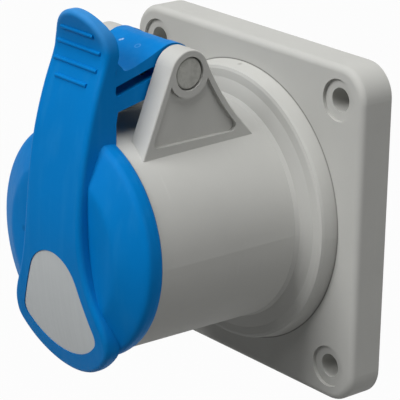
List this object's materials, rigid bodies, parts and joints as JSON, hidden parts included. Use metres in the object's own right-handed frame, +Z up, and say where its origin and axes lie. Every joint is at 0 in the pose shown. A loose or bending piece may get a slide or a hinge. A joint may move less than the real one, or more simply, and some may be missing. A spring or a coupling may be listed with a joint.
{
  "type": "industrial panel socket",
  "caption": "Panel-mounted industrial power socket with a square flange, a round plug collar and a sprung hinged lid with a finger tab.",
  "frame": {"origin": "centre of the flange's back face, on the socket's axis, where it meets the wall or panel", "axes": "+Y points into the wall along the socket's axis, the lid faces -Y, +Z up, +X to the right seen from the front"},
  "size_m": [0.075, 0.0688, 0.0878],
  "materials": {
    "housing_grey": "fine satin moulded",
    "lid_blue": "smooth semi-gloss moulded",
    "plate_grey": "satin, left bare",
    "carrier_black": "matte moulded",
    "cover_grey": "matte moulded",
    "gasket_black": "soft matte",
    "contact_brass": "drawn",
    "steel": "bright zinc plated"
  },
  "bodies": {
    "base": {"housing": "housing_grey", "panel_gasket": "gasket_black", "hinge_pin": "housing_grey", "lid_spring": "steel", "contact_carrier": "carrier_black", "carrier_seal": "gasket_black", "carrier_screws": "steel", "terminal_screws": "steel", "terminal_cover": "cover_grey", "cover_screw": "steel", "line_sleeve": "contact_brass", "line_sleeve_spring": "steel", "line_wire_guard": "steel", "neutral_sleeve": "contact_brass", "neutral_sleeve_spring": "steel", "neutral_wire_guard": "steel", "earth_sleeve": "contact_brass", "earth_sleeve_spring": "steel", "earth_wire_guard": "steel"},
    "lid_unit": {"lid": "lid_blue", "lid_gasket": "gasket_black", "rating_plate": "plate_grey"}
  },
  "joints": [
    {"name": "lid_hinge", "type": "hinge", "parent": "base", "child": "lid_unit", "pos_m": [0, -0.035, 0.0366], "axis": [-1, 0, 0], "range_deg": [0, 110], "stiffness_Nm_per_rad": 0.1, "springref_deg": -45.84, "deforming": ["lid_spring"]}
  ]
}
